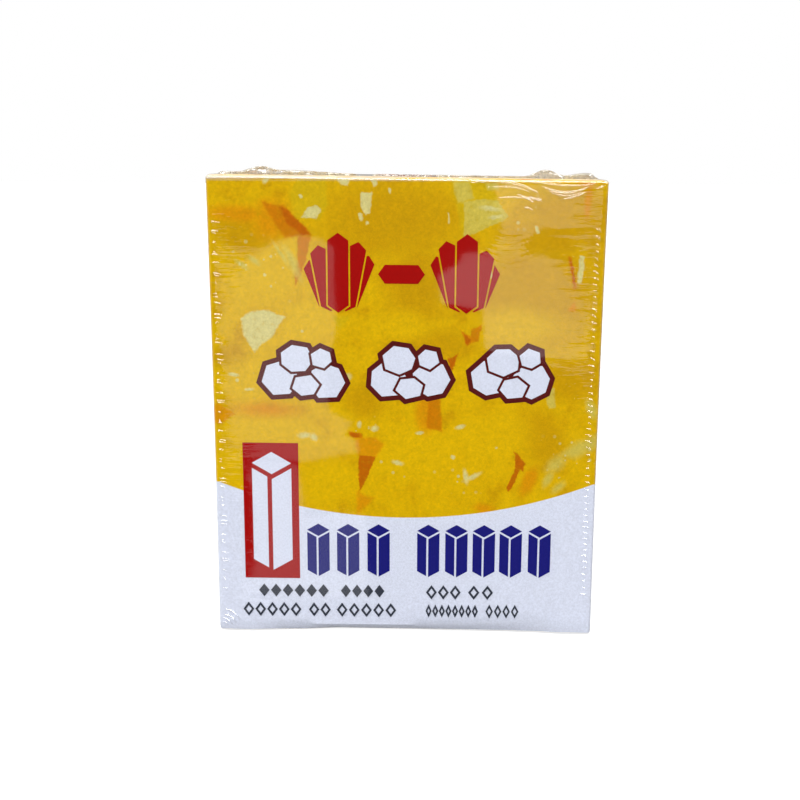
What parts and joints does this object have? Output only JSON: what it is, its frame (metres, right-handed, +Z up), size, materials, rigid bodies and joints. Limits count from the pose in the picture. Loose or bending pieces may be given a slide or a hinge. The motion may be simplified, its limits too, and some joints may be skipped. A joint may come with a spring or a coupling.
{
  "type": "shrink-wrapped rock sugar carton",
  "caption": "Shut upright printed paperboard carton of rock sugar lumps, wrapped all round in clear shrink film with a welded side and top seam.",
  "frame": {"origin": "on the floor, under the middle of the pack's foot", "axes": "+Z up along the pack's height, +X across the front panel to the viewer's right, the front panel faces -Y"},
  "size_m": [0.1118, 0.0446, 0.1358],
  "materials": {
    "printed_board": "coated white board printed in golden yellow, white, red and navy, satin",
    "clear_film": "clear polyolefin shrink film, glossy, drawn tight with small gathers at the edges"
  },
  "bodies": {
    "root": {"carton": "printed_board", "film": "clear_film"}
  },
  "joints": []
}
